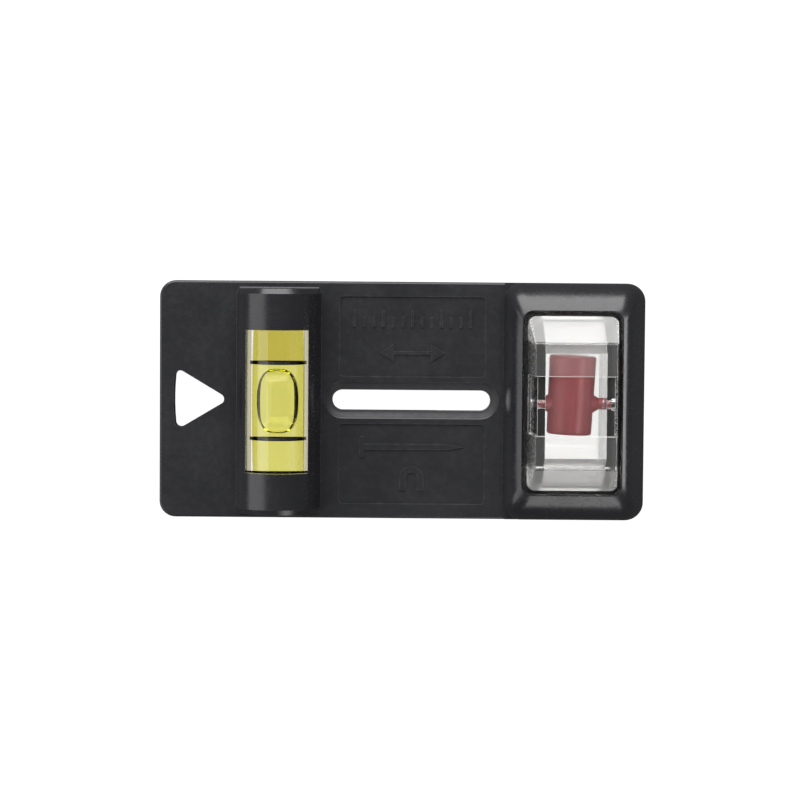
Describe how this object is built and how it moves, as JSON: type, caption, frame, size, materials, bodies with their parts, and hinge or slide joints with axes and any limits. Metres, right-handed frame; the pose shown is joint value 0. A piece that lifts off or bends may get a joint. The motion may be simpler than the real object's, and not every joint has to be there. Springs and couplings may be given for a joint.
{
  "type": "magnetic stud finder",
  "caption": "Hand-held magnetic stud finder: black housing with a level vial under a round hump, a marking slot, a hang hole and a clear dome over a swinging red magnet holder.",
  "frame": {"origin": "centre of the flat back that goes against the wall", "axes": "+X along the tool towards the magnet's dome, +Y across it along the vial, +Z out of the wall through the face"},
  "size_m": [0.108, 0.0528, 0.0246],
  "materials": {
    "housing_black": "fine matt moulded texture",
    "clear_plastic": "clear moulded plastic, slightly frosted facets",
    "holder_red": "satin moulded",
    "magnet_metal": "nickel plated",
    "vial_acrylic": "clear polished acrylic",
    "ring_black": "gloss",
    "liquid_yellow": "clear dyed spirit",
    "bubble_air": "clear"
  },
  "bodies": {
    "housing": {"top_housing": "housing_black", "back_plate": "housing_black", "rear_window": "clear_plastic", "dome_lens": "clear_plastic", "vial_tube": "vial_acrylic", "vial_cap": "vial_acrylic", "vial_index_rings": "ring_black", "vial_liquid": "liquid_yellow"},
    "swing_magnet": {"magnet_holder": "holder_red", "magnet": "magnet_metal", "holder_plug": "holder_red"},
    "level_bubble": {"vial_bubble": "bubble_air"}
  },
  "joints": [
    {"name": "magnet_swing", "type": "hinge", "parent": "housing", "child": "swing_magnet", "pos_m": [0.0371, 0, 0.0104], "axis": [1, 0, 0], "range_deg": [-20, 200]},
    {"name": "bubble_travel", "type": "slide", "parent": "housing", "child": "level_bubble", "axis": [0, 1, 0], "range_m": [-0.0104, 0.0104]}
  ]
}
